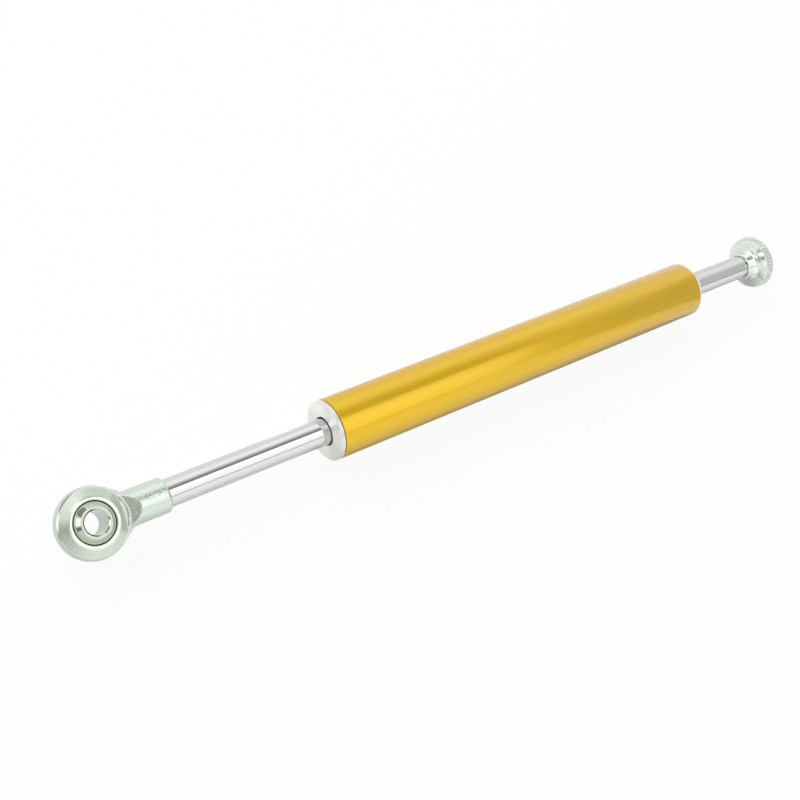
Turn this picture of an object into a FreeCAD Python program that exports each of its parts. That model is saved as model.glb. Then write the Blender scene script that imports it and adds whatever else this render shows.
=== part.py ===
"""Steering damper: a through-rod hydraulic damper with a rod end and an adjuster knob.

The rod runs along X, with the rod end at -X and the adjuster knob at +X. The origin is on the
rod's axis at the middle of the barrel. The bore of the rod end's ball is parallel to Z.
"""
import FreeCAD, Part
import os
import re

import Sketcher

# Driving sizes, in millimetres and degrees.
SIZES = {
    # barrel tube
    "tube_length": 178.0,
    "tube_diameter": 22.2,
    "tube_wall": 2.3,
    "tube_edge": 0.3,
    "socket_depth": 18.0,
    "socket_wall": 1.3,
    # end caps
    "flange_height": 1.9,
    "flange_step": 0.1,
    "cap_bevel": 0.3,
    "face_wall": 1.2,
    "land_width": 1.2,
    "groove_land": 1.8,
    "spigot_gap": 0.5,
    # seals and guides round the rod
    "wiper_gap": 0.6,
    "wiper_width": 2.6,
    "wiper_inset": 0.2,
    "seal_width": 3.4,
    "seal_lip": 0.7,
    "gland_depth": 2.4,
    "bush_wall": 1.0,
    "oring_section": 1.8,
    "groove_share": 1.3,
    "nose_share": 0.6,
    "neck_share": 0.85,
    # clearances
    "seat_gap": 0.02,
    "running_gap": 0.04,
    "land_gap": 0.3,
    # rod
    "rod_diameter": 9.7,
    "rod_wall": 2.35,
    "rod_edge": 0.4,
    "front_reach": 62.6,
    "rear_reach": 35.2,
    "rod_engage": 5.2,
    "stub_diameter": 8.0,
    "stub_room": 1.5,
    "port_diameter": 2.0,
    "port_offset": 4.0,
    "orifice_diameter": 2.4,
    # piston
    "piston_length": 12.0,
    "piston_gap": 0.15,
    "ring_width": 4.0,
    "ring_wall": 1.0,
    "energiser_section": 1.6,
    "clip_thickness": 1.0,
    "clip_bite": 0.5,
    "clip_stand": 1.3,
    "clip_opening": 3.0,
    # rod end
    "ball_diameter": 15.875,
    "ball_width": 12.0,
    "bore_diameter": 8.0,
    "bore_edge": 0.42,
    "head_diameter": 24.0,
    "head_width": 8.3,
    "rim_width": 4.2,
    "race_opening": 14.5,
    "race_face": 16.0,
    "lip_chamfer": 1.2,
    "lip_flat": 0.2,
    "mouth_depth": 0.3,
    "shank_diameter": 12.2,
    "shank_reach": 26.0,
    "shank_edge": 0.7,
    "nose_reach": 15.4,
    "neck_slope": 32.0,
    "web_reach": 12.5,
    "rim_round": 1.5,
    "crest_reach": 11.8,
    "cove_radius": 1.1,
    # knob
    "knob_diameter": 20.8,
    "knob_length": 10.35,
    "knob_back": 1.2,
    "knob_edge": 0.35,
    "knob_gap": 0.1,
    "end_gap": 0.3,
    "collar_diameter": 12.0,
    "collar_length": 1.2,
    "collar_round": 0.4,
    "bell_length": 6.4,
    "bell_slope": 64.0,
    "knurl_count": 46,
    "knurl_depth": 0.3,
    "snap_wire": 0.9,
    "snap_station": 3.9,
    # click detent
    "detent_station": 1.7,
    "detent_ball": 1.5,
    "detent_wire": 0.25,
    "click_count": 12,
    "click_depth": 0.25,
    # needle
    "needle_room": 0.6,
    "needle_tip": 1.4,
    "taper_length": 5.0,
    "valve_gap": 0.2,
    "valve_offset": 3.0,
    "guide_length": 5.0,
    "guide_room": 3.0,
    "needle_land": 4.0,
    "needle_section": 0.8,
    "tail_diameter": 3.9,
    "tail_flat": 3.0,
    "tail_edge": 0.3,
    "tail_room": 1.2,
    "key_gap": 0.05,
}

# Radii and stations that several pieces share, as expressions of the driving sizes.
ROD = "(rod_diameter / 2)"
TUBE = "(tube_diameter / 2)"
BORE = f"({TUBE} - tube_wall)"
SOCKET = f"({TUBE} - socket_wall)"
GLAND = f"({ROD} + gland_depth)"
BUSH = f"({ROD} + running_gap + bush_wall)"
CAP_FACE = "(tube_length / 2 + flange_height)"
CAP_END = "(flange_height + socket_depth - spigot_gap)"
CAP_GROOVE_END = f"({CAP_END} - groove_land)"
CAP_GROOVE_START = f"({CAP_GROOVE_END} - groove_share * oring_section)"
SEAL_START = "(face_wall + wiper_width + land_width)"
BUSH_START = f"({SEAL_START} + seal_width + land_width)"
PISTON_AT = "((rear_reach - front_reach) / 2)"
SHANK_END = f"({CAP_FACE} + front_reach)"
KNOB_FRONT = f"({CAP_FACE} + rear_reach)"
EYE = f"({SHANK_END} + shank_reach)"
HEAD = "(head_diameter / 2)"
SHANK = "(shank_diameter / 2)"
LIP = "(head_width / 2)"
RIM = "(rim_width / 2)"
RACE = "(race_face / 2 + lip_chamfer)"
BALL = "(ball_diameter / 2)"
STUB_LENGTH = f"(shank_reach - {HEAD} - stub_room)"
NEEDLE_BORE = f"({ROD} - rod_wall)"
ORIFICE = "(orifice_diameter / 2)"
NEEDLE_SHAFT = f"({NEEDLE_BORE} - needle_room)"
TAIL = "(tail_diameter / 2)"
KNOB = "(knob_diameter / 2)"
COLLAR = "(collar_diameter / 2)"
KNOB_BORE = f"({ROD} + knob_gap)"
SNAP = "(snap_wire / 2)"

doc = FreeCAD.newDocument("steering_damper")
sheet = doc.addObject("Spreadsheet::Sheet", "Size")
for row, (alias, size) in enumerate(SIZES.items(), start=1):
    sheet.set(f"A{row}", alias)
    sheet.set(f"B{row}", str(size))
    sheet.setAlias(f"B{row}", alias)
doc.recompute()

nodes = []


def tied(text):
    """The expression with each size name written as a cell of the sheet."""
    return re.sub(r"[a-z]+(?:_[a-z]+)+", r"Size.\g<0>", text)


def value(text):
    """The present value of an expression of sizes."""
    return float(sheet.evalExpression(tied(text)))


def bind(item, **sizes):
    """Ties properties of an object to expressions; station and rise place it along X and Z."""
    paths = {"station": "Placement.Base.x", "rise": "Placement.Base.z"}
    for name, text in sizes.items():
        item.setExpression(paths.get(name, name), tied(text))
    return item


def node(item, label):
    """Names an object as one finished piece of the damper."""
    item.Label = label
    nodes.append(item)
    return item


def new_body(label, station="0", turn=0):
    """An empty body at a station on the rod's axis, turned about Z."""
    body = node(doc.addObject("PartDesign::Body", label), label)
    body.Placement = FreeCAD.Placement(FreeCAD.Vector(), FreeCAD.Rotation(FreeCAD.Vector(0, 0, 1), turn))
    return bind(body, station=station)


def new_sketch(body, plane, name, offset="0"):
    """A sketch on one of the body's origin planes, lifted off it by an offset."""
    sketch = body.newObject("Sketcher::SketchObject", f"{body.Name}_{name}")
    support = next(item for item in body.Origin.OriginFeatures if item.Role == plane)
    sketch.AttachmentSupport = [(support, "")]
    sketch.MapMode = "FlatFace"
    sketch.setExpression("AttachmentOffset.Base.z", tied(offset))
    return sketch


def locate(sketch, geometry, point, across, up):
    """Ties one point of a sketch to its two coordinates."""
    for kind, axis, text in (("DistanceX", -2, across), ("DistanceY", -1, up)):
        if text == "0":
            sketch.addConstraint(Sketcher.Constraint("PointOnObject", geometry, point, axis))
            continue
        index = sketch.addConstraint(Sketcher.Constraint(kind, -1, 1, geometry, point, value(text)))
        sketch.setExpression(f"Constraints[{index}]", tied(text))


def segment(start, end, radius, side):
    """A straight or round edge, and which of its ends are its start and end points.

    A round edge has its centre to the left of the way from start to end (side 1) or to the
    right (side -1).
    """
    if not radius:
        return Part.LineSegment(start, end), 1, 2
    middle, run = (start + end) * 0.5, end - start
    left = FreeCAD.Vector(-run.y, run.x, 0).normalize()
    sagitta = max(radius ** 2 - (run.Length / 2) ** 2, 0.0) ** 0.5
    centre = middle + left * (side * sagitta)
    ends = (start, end) if side > 0 else (end, start)
    first, last = (FreeCAD.Vector(1, 0, 0).getAngle(p - centre) for p in ends)
    first, last = (angle if p.y >= centre.y else -angle for angle, p in zip((first, last), ends))
    circle = Part.Circle(centre, FreeCAD.Vector(0, 0, 1), radius)
    return Part.ArcOfCircle(circle, first, last), 1 if side > 0 else 2, 2 if side > 0 else 1


def add_outline(sketch, points):
    """Adds a closed outline; a point is (across, up) or (across, up, radius, side) before an arc."""
    spots = [FreeCAD.Vector(value(point[0]), value(point[1]), 0) for point in points]
    edges = []
    for index, point in enumerate(points):
        radius, side = point[2:] if len(point) > 2 else ("", 0)
        start, end = spots[index], spots[(index + 1) % len(spots)]
        shape, first, last = segment(start, end, value(radius) if radius else 0, side)
        edges.append((sketch.addGeometry(shape, False), first, last, radius))
    for index, (edge, _, last, _) in enumerate(edges):
        following, first, _, _ = edges[(index + 1) % len(edges)]
        sketch.addConstraint(Sketcher.Constraint("Coincident", edge, last, following, first))
    for (edge, first, _, radius), point in zip(edges, points):
        locate(sketch, edge, first, point[0], point[1])
        if radius:
            index = sketch.addConstraint(Sketcher.Constraint("Radius", edge, value(radius)))
            sketch.setExpression(f"Constraints[{index}]", tied(radius))


def add_circle(sketch, across, up, radius):
    """Adds a circle with its centre and radius tied to the sheet."""
    centre = FreeCAD.Vector(value(across), value(up), 0)
    circle = Part.Circle(centre, FreeCAD.Vector(0, 0, 1), value(radius))
    geometry = sketch.addGeometry(circle, False)
    locate(sketch, geometry, 3, across, up)
    index = sketch.addConstraint(Sketcher.Constraint("Radius", geometry, value(radius)))
    sketch.setExpression(f"Constraints[{index}]", tied(radius))


def revolve(body, plane, axis, name, *outlines, cut=False):
    """Adds or cuts a full turn of closed outlines about an axis of their sketch."""
    sketch = new_sketch(body, plane, f"{name}_profile")
    for points in outlines:
        add_outline(sketch, points)
    kind = "PartDesign::Groove" if cut else "PartDesign::Revolution"
    feature = body.newObject(kind, f"{body.Name}_{name}")
    feature.Profile = sketch
    feature.ReferenceAxis = (sketch, [axis])
    feature.Angle = 360
    body.Tip = feature
    return feature


def extrude(body, sketch, name, length="", cut=False, both_sides=False, reverse=False):
    """Pads or pockets a sketch by a length, or right through where no length is given."""
    feature = body.newObject("PartDesign::Pocket" if cut else "PartDesign::Pad", f"{body.Name}_{name}")
    feature.Profile = sketch
    if length:
        bind(feature, Length=length)
    else:
        feature.Type = "ThroughAll"
    feature.Midplane = both_sides
    feature.Reversed = reverse
    body.Tip = feature
    return feature


def repeat_round(body, feature, count):
    """Repeats a feature evenly round the body's X axis."""
    pattern = body.newObject("PartDesign::PolarPattern", f"{feature.Name}_pattern")
    pattern.Originals = [feature]
    axis = next(item for item in body.Origin.OriginFeatures if item.Role == "X_Axis")
    pattern.Axis = (axis, [""])
    pattern.Angle = 360
    bind(pattern, Occurrences=count)
    body.Tip = pattern
    return pattern


def turned(label, points, station="0", turn=0):
    """A piece turned about the rod's axis from one closed outline."""
    body = new_body(label, station, turn)
    revolve(body, "XY_Plane", "H_Axis", "turn", points)
    return body


def ring(label, station, radius, section, sweep=360):
    """A round-section ring about the rod's axis."""
    item = node(doc.addObject("Part::Torus", label), label)
    item.Placement.Rotation = FreeCAD.Rotation(FreeCAD.Vector(0, 1, 0), 90)
    item.Angle3 = sweep
    return bind(item, Radius1=radius, Radius2=f"{section} / 2", station=station)


def barrel_tube():
    """The tube, with a deeper socket at each end for the spigot of a cap."""
    far = "tube_length - socket_depth"
    turned("barrel_tube", [
        ("0", SOCKET), ("0", f"{TUBE} - tube_edge"), ("tube_edge", TUBE),
        ("tube_length - tube_edge", TUBE), ("tube_length", f"{TUBE} - tube_edge"),
        ("tube_length", SOCKET), (far, SOCKET), (far, BORE),
        ("socket_depth", BORE), ("socket_depth", SOCKET),
    ], station="-tube_length / 2")


def end_cap(label, station, turn):
    """A screwed-in cap: flange, spigot with an O-ring groove, and glands round the rod."""
    flange = f"({TUBE} - flange_step)"
    spigot = f"({SOCKET} - seat_gap)"
    floor = f"({SOCKET} - oring_section - 2 * seat_gap)"
    hole, land, bush_seat = f"({ROD} + wiper_gap)", f"({ROD} + land_gap)", f"({BUSH} + seat_gap)"
    wiper_end, seal_end = "face_wall + wiper_width", f"{SEAL_START} + seal_width"
    turned(label, [
        ("0", hole), ("0", f"{flange} - cap_bevel"), ("cap_bevel", flange),
        ("flange_height - tube_edge", flange), ("flange_height", f"{flange} - tube_edge"),
        ("flange_height", spigot),
        (CAP_GROOVE_START, spigot), (CAP_GROOVE_START, floor),
        (CAP_GROOVE_END, floor), (CAP_GROOVE_END, spigot),
        (CAP_END, spigot), (CAP_END, bush_seat), (BUSH_START, bush_seat), (BUSH_START, land),
        (seal_end, land), (seal_end, GLAND), (SEAL_START, GLAND), (SEAL_START, land),
        (wiper_end, land), (wiper_end, GLAND), ("face_wall", GLAND), ("face_wall", hole),
    ], station, turn)


def wiper(label, station, turn):
    """The rubber wiper, with a lip that shows in the hole of the cap's face."""
    near, far = "face_wall + seat_gap", "face_wall + wiper_width - seat_gap"
    lip, outside, relief = f"{ROD} + running_gap", f"{GLAND} - seat_gap", f"{ROD} + wiper_gap"
    turned(label, [
        ("wiper_inset", lip), ("wiper_inset", f"{ROD} + nose_share * wiper_gap"),
        (near, f"{ROD} + neck_share * wiper_gap"), (near, outside), (far, outside), (far, relief),
        ("face_wall + wiper_width / 2", relief), ("face_wall", lip),
    ], station, turn)


def rod_seal(label, station, turn):
    """The lip seal, open towards the oil."""
    near, far = f"{SEAL_START} + seat_gap", f"{SEAL_START} + seal_width - seat_gap"
    lip, outside = f"{ROD} + running_gap", f"{GLAND} - seat_gap"
    turned(label, [
        (near, f"{ROD} + land_gap"), (near, outside), (far, outside), (far, f"{outside} - seal_lip"),
        (f"{SEAL_START} + seal_width / 2", f"{ROD} + gland_depth / 2"), (far, f"{lip} + seal_lip"),
        (far, lip), (f"{SEAL_START} + seal_width / 2", lip),
    ], station, turn)


def guide_bush(label, station, turn):
    """The plain bush that the rod runs in."""
    end, inside = f"({CAP_END} - spigot_gap)", f"{ROD} + running_gap"
    turned(label, [
        (BUSH_START, inside), (BUSH_START, BUSH), (end, BUSH), (end, inside),
    ], station, turn)


def cap_group(end, station, turn, way):
    """One end cap with its O-ring, wiper, seal and bush."""
    end_cap(f"{end}_end_cap", station, turn)
    wiper(f"{end}_wiper", station, turn)
    rod_seal(f"{end}_rod_seal", station, turn)
    guide_bush(f"{end}_guide_bush", station, turn)
    ring(f"{end}_cap_oring", f"{station} {way} ({CAP_GROOVE_START} + {CAP_GROOVE_END}) / 2",
         f"{SOCKET} - seat_gap - oring_section / 2", "oring_section")


def piston_rod():
    """The hollow rod: threaded stub, two clip grooves, needle bore, oil ports and snap groove."""
    def on_rod(station):
        return f"({station} + {SHANK_END} + {STUB_LENGTH})"

    stub, clip_floor = "stub_diameter / 2", f"{ROD} - clip_bite - seat_gap"
    end = on_rod(f"{KNOB_FRONT} + rod_engage")
    clip_width = "(clip_thickness + 2 * seat_gap)"
    front_clip = on_rod(f"{PISTON_AT} - piston_length / 2 - {clip_width}")
    rear_clip = on_rod(f"{PISTON_AT} + piston_length / 2")
    snap = on_rod(f"{KNOB_FRONT} + snap_station")
    half_snap = f"({SNAP} + running_gap)"
    snap_floor = f"{ROD} - {SNAP} - running_gap"
    seat = on_rod(f"{PISTON_AT} + valve_offset")
    ports = [on_rod(f"{PISTON_AT} {way} (piston_length / 2 + {clip_width} + port_offset)") for way in "-+"]
    blind = f"({ports[0]} - port_diameter)"
    body = turned("piston_rod", [
        ("0", "0"), ("0", f"{stub} - rod_edge"), ("rod_edge", stub), (STUB_LENGTH, stub),
        (STUB_LENGTH, ROD), (front_clip, ROD), (front_clip, clip_floor),
        (f"{front_clip} + {clip_width}", clip_floor), (f"{front_clip} + {clip_width}", ROD),
        (rear_clip, ROD), (rear_clip, clip_floor), (f"{rear_clip} + {clip_width}", clip_floor),
        (f"{rear_clip} + {clip_width}", ROD), (f"{snap} - {half_snap}", ROD),
        (f"{snap} - {half_snap}", snap_floor), (f"{snap} + {half_snap}", snap_floor),
        (f"{snap} + {half_snap}", ROD), (f"{end} - rod_edge", ROD), (end, f"{ROD} - rod_edge"),
        (end, NEEDLE_BORE), (seat, NEEDLE_BORE), (seat, ORIFICE), (blind, ORIFICE), (blind, "0"),
    ], station=f"-{SHANK_END} - {STUB_LENGTH}")
    holes = new_sketch(body, "XY_Plane", "ports")
    for station in ports:
        add_circle(holes, station, "0", "port_diameter / 2")
    extrude(body, holes, "port_drilling", cut=True, both_sides=True)
    pocket = new_sketch(body, "XY_Plane", "detent")
    add_circle(pocket, on_rod(f"{KNOB_FRONT} + detent_station"), "0", "detent_ball / 2 + key_gap")
    extrude(body, pocket, "detent_drilling", length=ROD, cut=True, reverse=True)


def piston():
    """The piston, with a groove for the glide ring and the O-ring under it."""
    outside = f"({BORE} - piston_gap)"
    floor = f"({BORE} - running_gap - ring_wall - energiser_section - 3 * seat_gap)"
    inside, groove = f"{ROD} + seat_gap", "(ring_width + 2 * seat_gap)"
    turned("piston", [
        ("0", inside), ("0", f"{outside} - rod_edge"), ("rod_edge", outside),
        (f"(piston_length - {groove}) / 2", outside), (f"(piston_length - {groove}) / 2", floor),
        (f"(piston_length + {groove}) / 2", floor), (f"(piston_length + {groove}) / 2", outside),
        ("piston_length - rod_edge", outside), ("piston_length", f"{outside} - rod_edge"),
        ("piston_length", inside),
    ], station=f"{PISTON_AT} - piston_length / 2")
    rim = f"({BORE} - running_gap)"
    turned("piston_ring", [
        ("0", f"{rim} - ring_wall"), ("0", rim), ("ring_width", rim), ("ring_width", f"{rim} - ring_wall"),
    ], station=f"{PISTON_AT} - ring_width / 2")
    ring("piston_oring", PISTON_AT, f"{rim} - ring_wall - seat_gap - energiser_section / 2", "energiser_section")


def piston_clip(label, station):
    """An open clip in a groove of the rod, against one face of the piston."""
    body = new_body(label, station)
    inner, outer = f"{ROD} - clip_bite", f"{ROD} + clip_stand"
    disc = new_sketch(body, "YZ_Plane", "disc")
    add_circle(disc, "0", "0", outer)
    add_circle(disc, "0", "0", inner)
    extrude(body, disc, "pad", length="clip_thickness")
    gap = new_sketch(body, "YZ_Plane", "gap")
    add_outline(gap, [("-clip_opening / 2", "0"), ("-clip_opening / 2", f"-2 * {outer}"),
                      ("clip_opening / 2", f"-2 * {outer}"), ("clip_opening / 2", "0")])
    extrude(body, gap, "opening", cut=True, reverse=True)


def rod_end_housing():
    """The forged housing: turned shank, sloped neck flats, webbed sides and a turned head."""
    body = new_body("rod_end_housing", f"-{EYE}")
    top = f"2 * {SHANK}"
    revolve(body, "XY_Plane", "H_Axis", "shank", [
        (RACE, "0"), (RACE, SHANK), ("shank_reach - shank_edge", SHANK),
        ("shank_reach", f"{SHANK} - shank_edge"), ("shank_reach", "0"),
    ])

    # Sloped flats, as forged, from the nose on the shank down to the head, above and below.
    low = f"({SHANK} - (nose_reach - {RACE}) * tan(neck_slope))"
    crest = f"nose_reach + {SHANK} / tan(neck_slope)"
    flats = new_sketch(body, "XZ_Plane", "neck")
    add_outline(flats, [(crest, top), (RACE, top), (RACE, low)])
    add_outline(flats, [(crest, f"-{top}"), (RACE, f"-{low}"), (RACE, f"-{top}")])
    extrude(body, flats, "neck_flats", cut=True, both_sides=True)

    # Web whose straight sides touch the head's rim and meet the sides of the shank.
    side = f"sqrt({SHANK}^2 - {RIM}^2)"
    apart = f"(web_reach^2 + {side}^2)"
    tangent = f"sqrt({apart} - {HEAD}^2)"
    touch_x = f"({HEAD} * ({HEAD} * web_reach - {side} * {tangent}) / {apart})"
    touch_y = f"({HEAD} * ({HEAD} * {side} + web_reach * {tangent}) / {apart})"
    web = new_sketch(body, "XY_Plane", "web")
    add_outline(web, [(touch_x, touch_y), ("web_reach", side), ("web_reach", f"-{side}"), (touch_x, f"-{touch_y}")])
    extrude(body, web, "web_pad", length="rim_width", both_sides=True)

    # Cone turned on both faces, with a cove where the tool stops against the neck.
    lip_edge = "(race_face / 2 + seat_gap + lip_flat)"
    lean = f"(({LIP} - {RIM}) / ({HEAD} - {lip_edge}))"
    stretch = f"sqrt(1 + {lean}^2)"
    nose = "(crest_reach - cove_radius)"
    pivot = f"({LIP} - {lean} * ({nose} - {lip_edge}) + cove_radius * {stretch})"
    cove_x, cove_z = f"{nose} - cove_radius * {lean} / {stretch}", f"({pivot} - cove_radius / {stretch})"
    revolve(body, "XZ_Plane", "V_Axis", "faces", [
        ("0", LIP), (lip_edge, LIP), (cove_x, cove_z, "cove_radius", 1), ("crest_reach", pivot),
        ("crest_reach", top), ("0", top),
    ], [
        ("0", f"-{LIP}"), ("0", f"-{top}"), ("crest_reach", f"-{top}"),
        ("crest_reach", f"-{pivot}", "cove_radius", 1), (cove_x, f"-{cove_z}"), (lip_edge, f"-{LIP}"),
    ], cut=True)

    # Head with the same cones and a rounded rim.
    run_out = f"(rim_round * ({stretch} - {lean}))"
    round_x, round_z = f"{HEAD} - {run_out} / {stretch}", f"({RIM} + {run_out} * {lean} / {stretch})"
    flank = f"({RIM} - {run_out})"
    revolve(body, "XZ_Plane", "V_Axis", "head", [
        ("0", f"-{LIP}"), (lip_edge, f"-{LIP}"), (round_x, f"-{round_z}", "rim_round", 1), (HEAD, f"-{flank}"),
        (HEAD, flank, "rim_round", 1), (round_x, round_z), (lip_edge, LIP), ("0", LIP),
    ])

    # Seat of the race, with the lips that hold it.
    seat, mouth, shoulder = f"{RACE} + seat_gap", "race_face / 2 + seat_gap", f"({LIP} - lip_chamfer)"
    revolve(body, "XZ_Plane", "V_Axis", "seat", [
        ("0", f"-{top}"), (mouth, f"-{top}"), (mouth, f"-{LIP}"), (seat, f"-{shoulder}"),
        (seat, shoulder), (mouth, LIP), (mouth, top), ("0", top),
    ], cut=True)

    # Threaded hole for the rod's stub.
    bottom, thread = f"{HEAD} + stub_room / 2", "stub_diameter / 2 + seat_gap"
    revolve(body, "XY_Plane", "H_Axis", "thread", [
        (bottom, "0"), (bottom, thread), ("shank_reach", thread), ("shank_reach", "0"),
    ], cut=True)


def rod_end_race():
    """The race: a ring with a hollow sphere inside and a chamfer under each lip."""
    body = new_body("rod_end_race", f"-{EYE}")
    hollow, inside = f"({BALL} + running_gap)", f"({LIP} - mouth_depth)"
    neck, shoulder = f"sqrt({hollow}^2 - {inside}^2)", f"({LIP} - lip_chamfer)"
    revolve(body, "XZ_Plane", "V_Axis", "turn", [
        (neck, f"-{inside}", hollow, 1), (neck, inside), ("race_opening / 2", LIP), ("race_face / 2", LIP),
        (RACE, shoulder), (RACE, f"-{shoulder}"), ("race_face / 2", f"-{LIP}"), ("race_opening / 2", f"-{LIP}"),
    ])


def rod_end_ball():
    """The ball, with flat faces and a plain bore for the bolt."""
    body = new_body("rod_end_ball", f"-{EYE}")
    half, bore = "(ball_width / 2)", "bore_diameter / 2"
    face = f"sqrt({BALL}^2 - {half}^2)"
    revolve(body, "XZ_Plane", "V_Axis", "turn", [
        (bore, f"-({half} - bore_edge)"), (bore, f"{half} - bore_edge"), (f"{bore} + bore_edge", half),
        (face, half, BALL, -1), (face, f"-{half}"), (f"{bore} + bore_edge", f"-{half}"),
    ])


def adjuster_knob():
    """The knob: collar, bell and straight knurl outside; snap groove, clicks and thread inside."""
    run, climb = "(bell_length - collar_length)", f"({KNOB} - {COLLAR})"
    bend = f"(cos(bell_slope) * (tan(bell_slope) * {run} - {climb}) / (1 - cos(bell_slope)) / 2)"
    along, out = f"{bend} * sin(bell_slope)", f"{bend} * (1 - cos(bell_slope))"
    deep, thread = "rod_engage + end_gap", f"{TAIL} + key_gap"
    half_snap, snap_floor = f"({SNAP} + running_gap)", f"{ROD} + {SNAP} + running_gap"
    body = turned("adjuster_knob", [
        ("0", KNOB_BORE), ("0", f"{COLLAR} - collar_round", "collar_round", -1), ("collar_round", COLLAR),
        ("collar_length", COLLAR, bend, 1), (f"collar_length + {along}", f"{COLLAR} + {out}"),
        (f"bell_length - {along}", f"{KNOB} - {out}", bend, -1), ("bell_length", KNOB),
        ("knob_length - knob_edge", KNOB), ("knob_length", f"{KNOB} - knob_edge"), ("knob_length", "0"),
        ("knob_length - knob_back", "0"), ("knob_length - knob_back", thread), (deep, thread),
        (deep, KNOB_BORE), (f"snap_station + {half_snap}", KNOB_BORE),
        (f"snap_station + {half_snap}", snap_floor), (f"snap_station - {half_snap}", snap_floor),
        (f"snap_station - {half_snap}", KNOB_BORE),
    ], station=KNOB_FRONT)
    notch = new_sketch(body, "YZ_Plane", "knurl", offset="bell_length")
    width = "(0.45 * pi * knob_diameter / knurl_count)"
    add_outline(notch, [(f"-{width}", f"{KNOB} + 0.1 * knurl_depth"), ("0", f"{KNOB} - knurl_depth"),
                        (width, f"{KNOB} + 0.1 * knurl_depth")])
    repeat_round(body, extrude(body, notch, "knurl_cut", cut=True, reverse=True), "knurl_count")
    click = new_sketch(body, "YZ_Plane", "click")
    add_circle(click, "0", f"{KNOB_BORE} + click_depth - detent_ball / 2", "detent_ball / 2")
    flute = extrude(body, click, "click_cut", length="detent_station + detent_ball / 2", cut=True, reverse=True)
    repeat_round(body, flute, "click_count")
    ring("knob_snap_ring", f"{KNOB_FRONT} + snap_station", ROD, "snap_wire", sweep=320)


def detent():
    """The ball and spring in the rod's end that click in the knob."""
    station = f"{KNOB_FRONT} + detent_station"
    ball = node(doc.addObject("Part::Sphere", "detent_ball"), "detent_ball")
    bind(ball, Radius="detent_ball / 2", station=station, rise=f"{KNOB_BORE} - seat_gap - detent_ball / 2")
    spring = bind(new_body("detent_spring", station), rise=f"{NEEDLE_BORE} + detent_wire / 2")
    wire = new_sketch(spring, "XZ_Plane", "wire")
    add_circle(wire, "detent_ball / 2 - detent_wire", "0", "detent_wire / 2")
    coil = spring.newObject("PartDesign::AdditiveHelix", "detent_spring_coil")
    coil.Profile = wire
    coil.ReferenceAxis = (wire, ["V_Axis"])
    coil.Mode = "pitch-height-angle"
    bind(coil, Pitch="1.4 * detent_wire",
         Height="rod_wall + knob_gap - detent_ball - detent_wire - 3 * seat_gap")
    spring.Tip = coil


def adjuster_needle():
    """The needle: taper at the orifice, sealed land, keyed and threaded tail; and its guide."""
    rod_tail = f"({KNOB_FRONT} + rod_engage)"
    entry = f"(({ORIFICE} - valve_gap - needle_tip / 2) * taper_length / ({NEEDLE_SHAFT} - needle_tip / 2))"
    tip = f"({PISTON_AT} + valve_offset - {entry})"
    end = f"({KNOB_FRONT} + knob_length - knob_back - tail_room - ({tip}))"
    land_end = f"({rod_tail} - guide_length - guide_room - ({tip}))"
    land_start, middle = f"({land_end} - needle_land)", f"({land_end} - needle_land / 2)"
    land, floor = f"{NEEDLE_BORE} - running_gap", f"{NEEDLE_BORE} - running_gap - needle_section - seat_gap"
    half = "(groove_share * needle_section / 2)"
    body = turned("adjuster_needle", [
        ("0", "0"), ("0", "needle_tip / 2"), ("taper_length", NEEDLE_SHAFT), (land_start, NEEDLE_SHAFT),
        (land_start, land), (f"{middle} - {half}", land), (f"{middle} - {half}", floor),
        (f"{middle} + {half}", floor), (f"{middle} + {half}", land), (land_end, land), (land_end, TAIL),
        (f"{end} - tail_edge", TAIL), (end, f"{TAIL} - tail_edge"), (end, "0"),
    ], station=tip)
    flats = new_sketch(body, "YZ_Plane", "flats", offset=end)
    for top, bottom in ((f"2 * {TAIL}", "tail_flat / 2"), ("-tail_flat / 2", f"-2 * {TAIL}")):
        add_outline(flats, [(f"-2 * {TAIL}", top), (f"-2 * {TAIL}", bottom), (f"2 * {TAIL}", bottom),
                            (f"2 * {TAIL}", top)])
    extrude(body, flats, "tail_flats", length=f"{end} - {land_end}", cut=True)
    ring("needle_oring", f"{tip} + {middle}", f"{NEEDLE_BORE} - running_gap - needle_section / 2", "needle_section")

    guide = new_body("needle_guide", f"{rod_tail} - guide_length")
    disc = new_sketch(guide, "YZ_Plane", "disc")
    add_circle(disc, "0", "0", f"{NEEDLE_BORE} - seat_gap")
    extrude(guide, disc, "pad", length="guide_length")
    key, flat = f"({TAIL} + key_gap)", "(tail_flat / 2 + key_gap)"
    side = f"sqrt({key}^2 - {flat}^2)"
    keyway = new_sketch(guide, "YZ_Plane", "key")
    add_outline(keyway, [(f"-{side}", flat), (side, flat, key, -1), (side, f"-{flat}"),
                         (f"-{side}", f"-{flat}", key, -1)])
    extrude(guide, keyway, "keyway", cut=True, reverse=True)


def finish():
    """Recomputes the document, checks every object and writes each piece to its own file."""
    doc.recompute()
    failed = [item.Label for item in doc.Objects if {"Invalid", "Error"} & set(item.State)]
    failed += [item.Label for item in nodes if item.Shape.isNull() or not item.Shape.isValid()]
    if failed:
        raise RuntimeError(f"failed pieces: {failed}")
    os.makedirs("parts", exist_ok=True)
    for item in nodes:
        item.Shape.exportStep(f"parts/{item.Label}.step")


barrel_tube()
cap_group("front", f"-{CAP_FACE}", 0, "+")
cap_group("rear", CAP_FACE, 180, "-")
piston_rod()
piston()
piston_clip("piston_clip_front", f"{PISTON_AT} - piston_length / 2 - clip_thickness - seat_gap")
piston_clip("piston_clip_rear", f"{PISTON_AT} + piston_length / 2 + seat_gap")
rod_end_housing()
rod_end_race()
rod_end_ball()
adjuster_knob()
detent()
adjuster_needle()
finish()
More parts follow.
